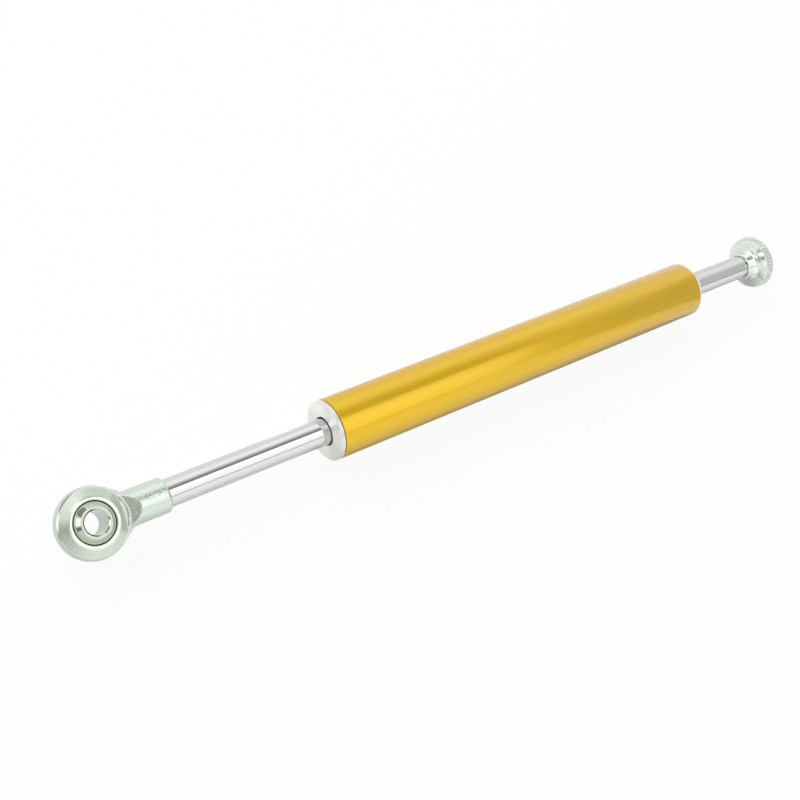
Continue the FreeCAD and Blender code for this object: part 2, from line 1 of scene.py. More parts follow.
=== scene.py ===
"""Steering damper on a white table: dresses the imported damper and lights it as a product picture.

The rod's axis is X, with the rod end at -X and the adjuster knob at +X. All lengths are in metres.
"""
import logging
import math
from collections.abc import Sequence
from dataclasses import dataclass, field, replace
from enum import Enum, IntEnum

import bmesh
import bpy
from mathutils import Matrix, Vector


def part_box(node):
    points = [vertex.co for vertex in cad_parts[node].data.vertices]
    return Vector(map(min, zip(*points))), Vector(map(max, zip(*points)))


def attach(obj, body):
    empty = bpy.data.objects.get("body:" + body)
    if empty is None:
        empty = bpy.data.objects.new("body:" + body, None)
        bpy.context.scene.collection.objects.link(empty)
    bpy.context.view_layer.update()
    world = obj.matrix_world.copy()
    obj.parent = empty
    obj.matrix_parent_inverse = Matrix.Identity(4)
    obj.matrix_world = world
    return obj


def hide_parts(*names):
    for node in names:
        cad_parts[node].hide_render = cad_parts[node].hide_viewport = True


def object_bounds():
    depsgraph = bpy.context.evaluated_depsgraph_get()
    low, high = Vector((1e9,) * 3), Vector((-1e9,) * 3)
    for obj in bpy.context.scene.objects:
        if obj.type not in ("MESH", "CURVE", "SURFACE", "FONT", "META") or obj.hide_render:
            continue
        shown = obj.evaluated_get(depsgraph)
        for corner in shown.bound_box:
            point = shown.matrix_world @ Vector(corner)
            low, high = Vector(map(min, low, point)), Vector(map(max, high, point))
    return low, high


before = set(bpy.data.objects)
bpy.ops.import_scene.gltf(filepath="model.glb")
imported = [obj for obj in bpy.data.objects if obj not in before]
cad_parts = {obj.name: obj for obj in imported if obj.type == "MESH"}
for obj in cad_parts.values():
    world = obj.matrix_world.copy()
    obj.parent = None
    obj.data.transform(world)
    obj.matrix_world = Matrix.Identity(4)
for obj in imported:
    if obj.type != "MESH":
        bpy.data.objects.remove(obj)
cad_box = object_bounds()

Point = tuple[float, float]
Triple = tuple[float, float, float]
Material = bpy.types.Material
Mesh = bpy.types.Mesh
Node = bpy.types.Node
Socket = bpy.types.NodeSocket
Tree = bpy.types.NodeTree

MM = 0.001
log = logging.getLogger("damper")

WHITE = "FFFFFF"
MATH = "ShaderNodeMath"
NOISE = "ShaderNodeTexNoise"
# Most values of a noise pattern lie in this range.
NOISE_LOW, NOISE_HIGH = 0.3, 0.7
# A stain gives way to the clean colour over this range of its noise.
STAIN_LOW, STAIN_HIGH = 0.35, 0.65
# Period of a wave pattern at a scale of 1.
WAVE_PERIOD = math.tau / 20
# A quarter of a circle, in the turns that the shader counts in.
QUARTER_TURN = 0.25

# Points of a turned mesh closer than this are one point.
TURNED_WELD = MM / 10000
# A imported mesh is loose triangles, whose corners are joined within this.
PACKED_WELD = MM / 1000
# Edges of a turned piece sharper than this, in degrees, stay crisp.
CRISP_ANGLE = 32.0
# Number of pieces of a rounded corner.
ROUND_STEPS = 4
# Share of the way to its neighbours' middle that a point goes in one pass of smoothing.
SMOOTHING = 0.5
# Corners of a flat square, in order round it.
SQUARE = ((-1, -1), (1, -1), (1, 1), (-1, 1))


class Body(str, Enum):
    """Moving bodies of the damper."""

    BARREL = "barrel"
    ROD = "rod"
    BALL = "ball"
    KNOB = "knob"


class Slot(str, Enum):
    """Material slots of the record."""

    BARREL = "barrel_gold"
    CAP = "cap_bright"
    CHROME = "hard_chrome"
    ZINC = "zinc_plate"
    BEARING = "bearing_steel"
    KNOB = "knob_bright"
    RUBBER = "black_rubber"
    GLIDE = "glide_plastic"
    BRONZE = "bush_bronze"
    PISTON = "piston_alloy"
    SPRING = "spring_steel"
    VALVE = "valve_steel"


class Axis(Enum):
    """Axis that a piece is turned about."""

    ROD = (1.0, 0.0, 0.0)
    EYE = (0.0, 0.0, 1.0)


class Skin(IntEnum):
    """Surfaces of the rod end's housing, numbered in the order of its materials."""

    HEAD = 0
    NECK = 1
    SHANK = 2
    CREST = 3


def linear(code: str) -> tuple[float, float, float, float]:
    """Turns an sRGB hex colour to linear light.

    Args:
        code: Six hex digits.

    Returns:
        Red, green, blue and an alpha of 1.
    """
    shares = [int(code[at:at + 2], 16) / 255 for at in (0, 2, 4)]
    red, green, blue = (s / 12.92 if s <= 0.04045 else ((s + 0.055) / 1.055) ** 2.4 for s in shares)
    return red, green, blue, 1.0


def per(size: float) -> float:
    """Scale of a noise pattern whose marks are about this long, in metres."""
    return 1.0 / size


def add_node(tree: Tree, kind: str, inputs: dict | None = None, **settings: object) -> Node:
    """Adds a node, sets its properties, and fills or links its inputs.

    Args:
        tree: Tree that gets the node.
        kind: Type name of the node.
        inputs: Value or output socket for each input, by name or place.
        settings: Properties of the node.

    Returns:
        The new node.
    """
    made = tree.nodes.new(kind)
    for name, setting in settings.items():
        setattr(made, name, setting)
    for key, given in (inputs or {}).items():
        if isinstance(given, bpy.types.NodeSocket):
            tree.links.new(given, made.inputs[key])
        else:
            made.inputs[key].default_value = given
    return made


def round_the(axis: Axis, tree: Tree, offset: Socket) -> Socket:
    """Adds the direction round an axis, for the grain of drawn or turned metal.

    Args:
        axis: Axis of the piece.
        tree: Tree of the material.
        offset: Place of the surface from a point on the axis.

    Returns:
        The unit direction, in world space.
    """
    way = add_node(tree, "ShaderNodeVectorMath", {0: axis.value, 1: offset}, operation="CROSS_PRODUCT")
    in_world = add_node(tree, "ShaderNodeVectorTransform", {"Vector": way.outputs["Vector"]},
                        vector_type="VECTOR", convert_from="OBJECT", convert_to="WORLD")
    unit = add_node(tree, "ShaderNodeVectorMath", {0: in_world.outputs["Vector"]}, operation="NORMALIZE")
    return unit.outputs["Vector"]


@dataclass(frozen=True)
class Finish:
    """A surface with one colour and gloss, and a fine uneven gloss from handling."""

    name: str
    colour: str
    roughness: float
    metallic: float = 1.0
    gloss_spread: float = 0.02
    gloss_size: float = 3.0 * MM
    gloss_detail: float = 3.0

    def material(self) -> Material:
        """Builds the material once.

        Returns:
            The material, the same one for each piece that asks.
        """
        found = bpy.data.materials.get(self.name)
        if found:
            return found
        made = bpy.data.materials.new(self.name)
        made.use_nodes = True
        tree = made.node_tree
        tree.nodes.clear()
        shader = add_node(tree, "ShaderNodeBsdfPrincipled", {
            "Base Color": linear(self.colour), "Metallic": self.metallic, "Roughness": self.roughness,
        })
        add_node(tree, "ShaderNodeOutputMaterial", {"Surface": shader.outputs["BSDF"]})
        place = add_node(tree, "ShaderNodeTexCoord").outputs["Object"]
        self.add_gloss(tree, shader, place)
        self.add_detail(tree, shader, place)
        return made

    def add_gloss(self, tree: Tree, shader: Node, place: Socket) -> None:
        """Makes the gloss slightly uneven.

        Args:
            tree: Tree of the material.
            shader: Its surface shader.
            place: Object coordinates.
        """
        cloud = add_node(tree, NOISE, {
            "Vector": place, "Scale": per(self.gloss_size), "Detail": self.gloss_detail,
        })
        level = add_node(tree, "ShaderNodeMapRange", {
            "Value": cloud.outputs["Fac"], "From Min": NOISE_LOW, "From Max": NOISE_HIGH,
            "To Min": self.roughness - self.gloss_spread, "To Max": self.roughness + self.gloss_spread,
        })
        tree.links.new(level.outputs["Result"], shader.inputs["Roughness"])

    def add_detail(self, tree: Tree, shader: Node, place: Socket) -> None:
        """Adds what marks this finish; a plain finish has nothing more.

        Args:
            tree: Tree of the material.
            shader: Its surface shader.
            place: Object coordinates.
        """


@dataclass(frozen=True)
class AnodisedFinish(Finish):
    """Dyed anodised aluminium tube: satin metal under a clear oxide skin.

    The skin reflects white at a grazing view, so the edges of the tube look paler than its middle. The
    tube was drawn lengthwise, so highlights spread round it more than along it.
    """

    skin_weight: float = 1.0
    skin_index: float = 1.5
    skin_roughness: float = 0.1
    anisotropy: float = 0.55
    line_width: float = 0.35 * MM
    line_length: float = 9.0 * MM
    line_depth: float = 0.004 * MM
    line_detail: float = 2.0

    def add_detail(self, tree: Tree, shader: Node, place: Socket) -> None:
        """Adds the oxide skin and the drawn lines, made wider than real ones so that they show.

        Args:
            tree: Tree of the material.
            shader: Its surface shader.
            place: Object coordinates.
        """
        shader.inputs["Coat Weight"].default_value = self.skin_weight
        shader.inputs["Coat IOR"].default_value = self.skin_index
        shader.inputs["Coat Roughness"].default_value = self.skin_roughness
        shader.inputs["Anisotropic"].default_value = self.anisotropy
        tree.links.new(round_the(Axis.ROD, tree, place), shader.inputs["Tangent"])
        stretch = add_node(tree, "ShaderNodeMapping", {
            "Vector": place, "Scale": (self.line_width / self.line_length, 1.0, 1.0),
        })
        lines = add_node(tree, NOISE, {
            "Vector": stretch.outputs["Vector"], "Scale": per(self.line_width),
            "Detail": self.line_detail,
        })
        bump = add_node(tree, "ShaderNodeBump", {
            "Height": lines.outputs["Fac"], "Strength": 1.0, "Distance": self.line_depth,
        })
        tree.links.new(bump.outputs["Normal"], shader.inputs["Normal"])


@dataclass(frozen=True)
class TurnedFinish(Finish):
    """Metal from the lathe: fine rings about an axis, which stretch highlights into sectors.

    The shader stretches highlights along its tangent, so the tangent runs round the axis and is
    then turned a quarter of a circle, across the rings.
    """

    axis: Axis = Axis.ROD
    centre: Triple = (0.0, 0.0, 0.0)
    anisotropy: float = 0.6
    ring_pitch: float = 0.45 * MM
    ring_depth: float = 0.002 * MM
    ring_waver: float = 0.6
    ring_detail: float = 1.0

    def add_detail(self, tree: Tree, shader: Node, place: Socket) -> None:
        """Adds the run of the rings and their relief, made coarser than a real feed so that it shows.

        Args:
            tree: Tree of the material.
            shader: Its surface shader.
            place: Object coordinates.
        """
        shader.inputs["Anisotropic"].default_value = self.anisotropy
        shader.inputs["Anisotropic Rotation"].default_value = QUARTER_TURN
        offset = add_node(tree, "ShaderNodeVectorMath", {0: place, 1: self.centre}, operation="SUBTRACT")
        tree.links.new(round_the(self.axis, tree, offset.outputs["Vector"]), shader.inputs["Tangent"])
        rings = add_node(tree, "ShaderNodeTexWave", {
            "Vector": offset.outputs["Vector"], "Scale": WAVE_PERIOD / self.ring_pitch,
            "Distortion": self.ring_waver, "Detail": self.ring_detail,
        }, wave_type="RINGS", rings_direction="X" if self.axis is Axis.ROD else "Z")
        bump = add_node(tree, "ShaderNodeBump", {
            "Height": rings.outputs["Fac"], "Strength": 1.0, "Distance": self.ring_depth,
        })
        tree.links.new(bump.outputs["Normal"], shader.inputs["Normal"])


@dataclass(frozen=True)
class RoughFinish(Finish):
    """A grainy surface, such as a forging's skin under plating or a moulded rubber."""

    grain_size: float = 0.5 * MM
    grain_depth: float = 0.05 * MM
    grain_detail: float = 4.0
    stain: str = ""
    stain_size: float = 1.0 * MM
    stain_detail: float = 3.0

    def add_detail(self, tree: Tree, shader: Node, place: Socket) -> None:
        """Adds the relief of the grain and, where the finish has one, its second colour.

        Args:
            tree: Tree of the material.
            shader: Its surface shader.
            place: Object coordinates.
        """
        grain = add_node(tree, NOISE, {
            "Vector": place, "Scale": per(self.grain_size), "Detail": self.grain_detail,
        })
        bump = add_node(tree, "ShaderNodeBump", {
            "Height": grain.outputs["Fac"], "Strength": 1.0, "Distance": self.grain_depth,
        })
        tree.links.new(bump.outputs["Normal"], shader.inputs["Normal"])
        if self.stain:
            cloud = add_node(tree, NOISE, {
                "Vector": place, "Scale": per(self.stain_size), "Detail": self.stain_detail,
            })
            ramp = add_node(tree, "ShaderNodeValToRGB", {"Fac": cloud.outputs["Fac"]})
            low, high = ramp.color_ramp.elements
            low.position, high.position = STAIN_LOW, STAIN_HIGH
            low.color, high.color = linear(self.stain), linear(self.colour)
            tree.links.new(ramp.outputs["Color"], shader.inputs["Base Color"])


# Dyed and anodised: a deep satin gold with a soft bright band and pale edges.
GOLD = AnodisedFinish("gold_anodised_aluminium", "E7BB05", 0.35, gloss_size=2.0 * MM)
# Plated and ground: a cool mirror that draws the room out into long streaks.
CHROME = Finish("ground_hard_chrome", "DCDDDC", 0.05, gloss_spread=0.015, gloss_size=1.5 * MM)
# Faced on a lathe: white metal with broad light and dark sectors.
CAP_METAL = TurnedFinish("turned_bright_aluminium", "FCFFFA", 0.5, anisotropy=0.95)
# Polished: bright, with small crisp reflections in its curves.
KNOB_METAL = Finish("polished_aluminium", "EDF2EC", 0.12, gloss_spread=0.03)
# Pressed by a knurling tool: the same metal with a dull, pale gloss.
KNURL_METAL = Finish("rolled_knurl_aluminium", "F4F8F2", 0.6, gloss_spread=0.03)
# Lapped: a grey mirror with clear patches of the room.
BALL_STEEL = Finish("polished_bearing_steel", "C0C6BB", 0.07)
# Faced on a lathe: a flat grey ring with soft sectors.
FACED_STEEL = TurnedFinish("faced_bearing_steel", "CAD0C0", 0.3, axis=Axis.EYE, anisotropy=0.8)
# Painted shade: a dark colour on the race's hollow that stands in for the shadow in the gap, a thin dark
# line round the ball.
GAP_SHADE = Finish("painted_gap_shade", "555E48", 0.3, metallic=0.0)
# Turned: a pale bright ring.
RACE_STEEL = Finish("turned_race_steel", "E6ECDF", 0.2, gloss_spread=0.04)
# Turned and then plated: greenish silver with faint rings.
HEAD_ZINC = TurnedFinish("zinc_on_turned_head", "CFD8CA", 0.27, axis=Axis.EYE, anisotropy=0.4,
                         ring_pitch=0.5 * MM)
# Plated over a coarser turning: silver that glints unevenly.
SHANK_ZINC = RoughFinish("zinc_on_turned_forging", "D9E2D9", 0.24, grain_size=0.75 * MM,
                         grain_depth=0.15 * MM)
# Plated over the skin that the die left: greyer, dull and mottled.
NECK_ZINC = RoughFinish("zinc_on_forged_skin", "C4CEC0", 0.4, grain_size=0.45 * MM, grain_depth=0.1 * MM,
                        stain="A4AE9E", stain_size=0.5 * MM)
# A paler, duller zinc on the crest between the cone and the neck: a pale soft line.
CREST_ZINC = Finish("pale_zinc_on_crest", "ECF3E8", 0.6, gloss_spread=0.05)
# Moulded: dull black.
RUBBER = RoughFinish("black_nitrile_rubber", "161716", 0.5, metallic=0.0, grain_size=0.3 * MM,
                     grain_depth=0.01 * MM)

# Finishes of the pieces inside, which show only when the damper is taken apart.
INNER_FINISHES = {
    # Moulded: a dull brown.
    Slot.GLIDE: Finish("filled_glide_plastic", "5A4F42", 0.45, metallic=0.0),
    # Turned: a warm yellow metal.
    Slot.BRONZE: Finish("plain_bearing_bronze", "B08A4A", 0.3),
    # Turned: a plain pale grey metal.
    Slot.PISTON: Finish("plain_turned_aluminium", "C8CAC8", 0.28),
    # Drawn and oiled: a dark grey metal.
    Slot.SPRING: Finish("oiled_spring_steel", "8C8D8E", 0.3),
    # Ground: a brighter grey metal.
    Slot.VALVE: Finish("ground_valve_steel", "B4B6B8", 0.2),
}


@dataclass(frozen=True)
class Corner:
    """A point of a turned outline: along the axis, out from it, and the radius that rounds it."""

    along: float
    out: float
    rounding: float = 0.0


def arc(along: float, out: float, radius: float, start: float, end: float, steps: int) -> list[Corner]:
    """Points of a round stretch of an outline.

    Args:
        along: Centre along the axis.
        out: Centre out from the axis.
        radius: Radius of the arc.
        start: First angle, in degrees from the axis's own way towards outwards.
        end: Last angle.
        steps: Number of pieces of the arc.

    Returns:
        The points from start to end.
    """
    angles = [math.radians(start + (end - start) * step / steps) for step in range(steps + 1)]
    return [Corner(along + radius * math.cos(a), out + radius * math.sin(a)) for a in angles]


def rounded(corners: Sequence[Corner]) -> list[Point]:
    """Closed outline with its corners rounded.

    Args:
        corners: Corners in order round the outline.

    Returns:
        Points along the axis and out from it.
    """
    spots = [Vector((corner.along, corner.out)) for corner in corners]
    points: list[Point] = []
    for index, (corner, here) in enumerate(zip(corners, spots)):
        if not corner.rounding:
            points.append(tuple(here))
            continue
        back = (spots[index - 1] - here).normalized()
        on = (spots[(index + 1) % len(spots)] - here).normalized()
        half = back.angle(on) / 2
        reach = corner.rounding / math.tan(half)
        centre = here + (back + on).normalized() * (corner.rounding / math.sin(half))
        first, last = here + back * reach - centre, here + on * reach - centre
        sweep = first.angle_signed(last)
        for step in range(ROUND_STEPS + 1):
            turned = first.copy()
            turned.rotate(Matrix.Rotation(-sweep * step / ROUND_STEPS, 2))
            points.append(tuple(centre + turned))
    return points


def turn(name: str, outline: Sequence[Point], axis: Axis, centre: Vector, segments: int) -> Mesh:
    """Turns a closed outline about an axis.

    Args:
        name: Name of the mesh.
        outline: Points along the axis and out from it.
        axis: Axis of the turn.
        centre: Point that the outline is measured from.
        segments: Number of steps round the axis.

    Returns:
        A closed mesh, in place, smooth but for its sharp edges.
    """
    shape = bmesh.new()
    rings = []
    for step in range(segments):
        angle = math.tau * step / segments
        ring = []
        for along, out in outline:
            across, up = out * math.sin(angle), out * math.cos(angle)
            spot = (along, across, up) if axis is Axis.ROD else (across, up, along)
            ring.append(shape.verts.new(centre + Vector(spot)))
        rings.append(ring)
    count = len(outline)
    for step, ring in enumerate(rings):
        following = rings[(step + 1) % segments]
        for index in range(count):
            after = (index + 1) % count
            shape.faces.new((ring[index], ring[after], following[after], following[index]))
    bmesh.ops.remove_doubles(shape, verts=shape.verts, dist=TURNED_WELD)
    bmesh.ops.recalc_face_normals(shape, faces=shape.faces)
    mesh = bpy.data.meshes.new(name)
    shape.to_mesh(mesh)
    shape.free()
    mesh.shade_smooth()
    mesh.set_sharp_from_angle(angle=math.radians(CRISP_ANGLE))
    return mesh


def new_piece(name: str, mesh: Mesh, body: Body, stands_for: Sequence[str] = ()) -> None:
    """Makes an object of a mesh and hands it to its body.

    Args:
        name: Name of the piece.
        mesh: Its mesh, in place.
        body: Body that carries it.
        stands_for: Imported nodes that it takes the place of.
    """
    piece = bpy.data.objects.new(name, mesh)
    bpy.context.scene.collection.objects.link(piece)
    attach(piece, body.value)
    if stands_for:
        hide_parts(*stands_for)
    log.info("%s: %d faces on %s", name, len(mesh.polygons), body.value)


@dataclass
class Barrel:
    """The gold tube, with a socket for a cap in each end."""

    lip_round: float = 0.25 * MM
    socket_depth: float = 18.0 * MM
    socket_wall: float = 1.3 * MM
    wall: float = 2.3 * MM
    cap_slot: float = 0.2 * MM
    rear_lap: float = 0.75 * MM
    segments: int = 192

    def build(self) -> None:
        """Builds the tube."""
        low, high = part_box("barrel_tube")
        radius, depth = high.z, self.socket_depth
        socket, bore = radius - self.socket_wall, radius - self.wall
        # In front a thin slot at the cap shows as a dark line; behind, the lip laps over the flange.
        front, rear = low.x + self.cap_slot, high.x + self.rear_lap
        outline = rounded([
            Corner(front, socket), Corner(front, radius, self.lip_round),
            Corner(rear, radius, self.lip_round), Corner(rear, socket),
            Corner(high.x - depth, socket), Corner(high.x - depth, bore),
            Corner(low.x + depth, bore), Corner(low.x + depth, socket),
        ])
        mesh = turn("gold_tube", outline, Axis.ROD, Vector(), self.segments)
        mesh.materials.append(GOLD.material())
        new_piece("gold_tube", mesh, Body.BARREL, ["barrel_tube"])


@dataclass
class RodEnd:
    """The forged rod end: housing, race and ball about the eye.

    The limits in this class are shares of a face's normal, which tell its surfaces apart.
    """

    segments: int = 160
    ball_bore: float = 4.0 * MM
    bore_edge: float = 0.42 * MM
    face_edge: float = 0.2 * MM
    face_limit: float = 0.99
    ball_steps: int = 40
    ball_gap: float = 0.04 * MM
    race_mouth: float = 7.15 * MM
    mouth_depth: float = 0.6 * MM
    race_seat: float = 9.2 * MM
    race_chamfer: float = 1.2 * MM
    race_edge: float = 0.4 * MM
    hollow_steps: int = 24
    hollow_limit: float = -0.9
    lip_start: float = 7.8 * MM
    lip_end: float = 8.6 * MM
    lip_dip: float = 0.03 * MM
    lip_steps: int = 8
    cone_slope: float = 28.5
    rim_half: float = 2.1 * MM
    grain: float = 0.185 * MM
    soften: int = 2
    shank: float = 6.1 * MM
    web_ease: float = 0.6 * MM
    crest: float = 11.9 * MM
    crest_inside: float = 0.4 * MM
    crest_outside: float = 0.1 * MM
    crest_passes: int = 24
    neck_side_limit: float = 0.2
    neck_steep_limit: float = -0.65
    neck_level_limit: float = -0.4
    eye: Vector = field(init=False)
    ball: float = field(init=False)
    ball_half: float = field(init=False)
    race_half: float = field(init=False)
    head: float = field(init=False)

    def __post_init__(self) -> None:
        """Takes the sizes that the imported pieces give."""
        low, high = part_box("rod_end_ball")
        self.eye = (low + high) / 2
        self.ball = high.y
        self.ball_half = high.z - self.eye.z
        self.race_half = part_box("rod_end_race")[1].z
        self.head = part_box("rod_end_housing")[1].y

    @property
    def lip_bend(self) -> float:
        """Radius of the lip's crown, which runs from level into the slope of the cone."""
        return (self.lip_end - self.lip_start) / math.sin(math.radians(self.cone_slope))

    def build(self) -> None:
        """Builds the three pieces of the rod end."""
        self.build_ball()
        self.build_race()
        self.build_housing()

    def build_ball(self) -> None:
        """Turns the ball with its bore, and faces its ends."""
        half, bore = self.ball_half, self.ball_bore
        tilt = math.degrees(math.acos(half / self.ball))
        deep, mouth = half - self.bore_edge, bore + self.bore_edge
        sphere = arc(0.0, 0.0, self.ball, tilt, 180.0 - tilt, self.ball_steps)
        edges = [Corner(end.along, end.out, self.face_edge) for end in (sphere[0], sphere[-1])]
        # The points of the sphere next to its edges make room for the roundings.
        outline = rounded([
            Corner(-half, mouth), Corner(-deep, bore), Corner(deep, bore), Corner(half, mouth),
            edges[0], *sphere[2:-2], edges[1],
        ])
        mesh = turn("swivel_ball", outline, Axis.EYE, self.eye, self.segments)
        for finish in (BALL_STEEL, replace(FACED_STEEL, centre=tuple(self.eye))):
            mesh.materials.append(finish.material())
        for face in mesh.polygons:
            face.material_index = int(abs(face.normal.z) > self.face_limit)
        new_piece("swivel_ball", mesh, Body.BALL, ["rod_end_ball"])

    def build_race(self) -> None:
        """Turns the race that holds the ball, with a crowned lip and painted shade in its hollow."""
        half, bend, slope = self.race_half, self.lip_bend, self.cone_slope
        hollow, inside = self.ball + self.ball_gap, half - self.mouth_depth
        tilt = math.degrees(math.acos(inside / hollow))
        shoulder = half - self.race_chamfer
        outline = rounded([
            *arc(0.0, 0.0, hollow, 180.0 - tilt, tilt, self.hollow_steps),
            Corner(half, self.race_mouth, self.race_edge),
            *arc(half - bend, self.lip_start, bend, 0.0, slope, self.lip_steps),
            Corner(shoulder, self.race_seat), Corner(-shoulder, self.race_seat),
            *arc(bend - half, self.lip_start, bend, 180.0 - slope, 180.0, self.lip_steps),
            Corner(-half, self.race_mouth, self.race_edge),
        ])
        mesh = turn("ball_race", outline, Axis.EYE, self.eye, self.segments)
        for finish in (RACE_STEEL, GAP_SHADE):
            mesh.materials.append(finish.material())
        # Faces that look into the hollow, towards the ball, get the painted shade of the gap.
        for face in mesh.polygons:
            outward = (face.center - self.eye).xy.normalized()
            face.material_index = int(face.normal.xy.dot(outward) < self.hollow_limit)
        new_piece("ball_race", mesh, Body.ROD, ["rod_end_race"])

    def build_housing(self) -> None:
        """Softens the housing's edges as on a plated forging, and tells its surfaces apart."""
        forged = self.even_mesh()
        self.ease(forged)
        forged.shade_smooth()
        head = replace(HEAD_ZINC, centre=tuple(self.eye))
        finishes = {
            Skin.HEAD: head, Skin.NECK: NECK_ZINC, Skin.SHANK: SHANK_ZINC, Skin.CREST: CREST_ZINC,
        }
        for skin in Skin:
            forged.materials.append(finishes[skin].material())
        for face in forged.polygons:
            face.material_index = self.skin_of(face).value
        new_piece("forged_housing", forged, Body.ROD, ["rod_end_housing"])

    def even_mesh(self) -> Mesh:
        """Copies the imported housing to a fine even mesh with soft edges.

        Returns:
            The new mesh, in place.
        """
        shape = bmesh.new()
        shape.from_mesh(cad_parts["rod_end_housing"].data)
        bmesh.ops.remove_doubles(shape, verts=shape.verts, dist=PACKED_WELD)
        mesh = bpy.data.meshes.new("housing_draft")
        shape.to_mesh(mesh)
        shape.free()
        draft = bpy.data.objects.new("housing_draft", mesh)
        bpy.context.scene.collection.objects.link(draft)
        remesh = draft.modifiers.new("even_grain", "REMESH")
        remesh.mode = "VOXEL"
        remesh.voxel_size = self.grain
        soft = draft.modifiers.new("soft_edges", "SMOOTH")
        soft.factor = SMOOTHING
        soft.iterations = self.soften
        graph = bpy.context.evaluated_depsgraph_get()
        forged = bpy.data.meshes.new_from_object(draft.evaluated_get(graph))
        bpy.data.objects.remove(draft)
        bpy.data.meshes.remove(mesh)
        forged.name = "forged_housing"
        return forged

    def ease(self, mesh: Mesh) -> None:
        """Works over the housing as a die and a polishing wheel leave it.

        The seat keeps under the lip of the race, the web falls away from the rim as the cone does, and
        the crest between the cone and the neck is rubbed round.

        Args:
            mesh: Even mesh of the housing, changed in place.
        """
        shape = bmesh.new()
        shape.from_mesh(mesh)
        for vert in shape.verts:
            spot = vert.co - self.eye
            vert.co.z = math.copysign(self.height_at(spot), spot.z)
        crest = [vert for vert in shape.verts if self.on_crest(vert.co - self.eye)]
        for _ in range(self.crest_passes):
            bmesh.ops.smooth_vert(shape, verts=crest, factor=SMOOTHING,
                                  use_axis_x=True, use_axis_y=True, use_axis_z=True)
        shape.to_mesh(mesh)
        shape.free()

    def on_crest(self, spot: Vector) -> bool:
        """Tells whether a place, measured from the eye, is on the crest between the cone and the neck.

        Args:
            spot: Place of a point from the eye.

        Returns:
            True on the crest.
        """
        past = spot.xy.length - self.crest
        near = -self.crest_inside < past < self.crest_outside
        return near and spot.x > 0.0 and abs(spot.z) > self.rim_half

    def height_at(self, spot: Vector) -> float:
        """Height over the middle plane that a point of the housing is brought to.

        Args:
            spot: Place of the point from the eye.

        Returns:
            The height, never more than it was.
        """
        out, height = spot.xy.length, abs(spot.z)
        cone = self.rim_half + math.tan(math.radians(self.cone_slope)) * (self.head - out)
        if self.lip_start < out < self.lip_end:
            drop = self.lip_bend - math.sqrt(self.lip_bend ** 2 - (out - self.lip_start) ** 2)
            return min(height, self.race_half - drop - self.lip_dip)
        if out > self.head and spot.x > 0.0:
            # The fall starts softly at the shank and is whole a little way out from it.
            share = min(max((spot.yz.length - self.shank) / self.web_ease, 0.0), 1.0)
            share *= share * (3.0 - 2.0 * share)
            return height * (1.0 - share * (1.0 - max(cone, 0.0) / self.rim_half))
        return height

    def skin_of(self, face: bpy.types.MeshPolygon) -> Skin:
        """Tells the turned head, the forged neck, the shank and the crest apart.

        Args:
            face: A face of the housing.

        Returns:
            The surface that it belongs to.
        """
        spot, normal = face.center - self.eye, face.normal
        if self.on_crest(spot):
            return Skin.CREST
        if spot.xy.length < self.crest:
            return Skin.HEAD
        sloped = self.neck_steep_limit < normal.x < self.neck_level_limit
        if abs(normal.y) < self.neck_side_limit and sloped:
            return Skin.NECK
        return Skin.SHANK


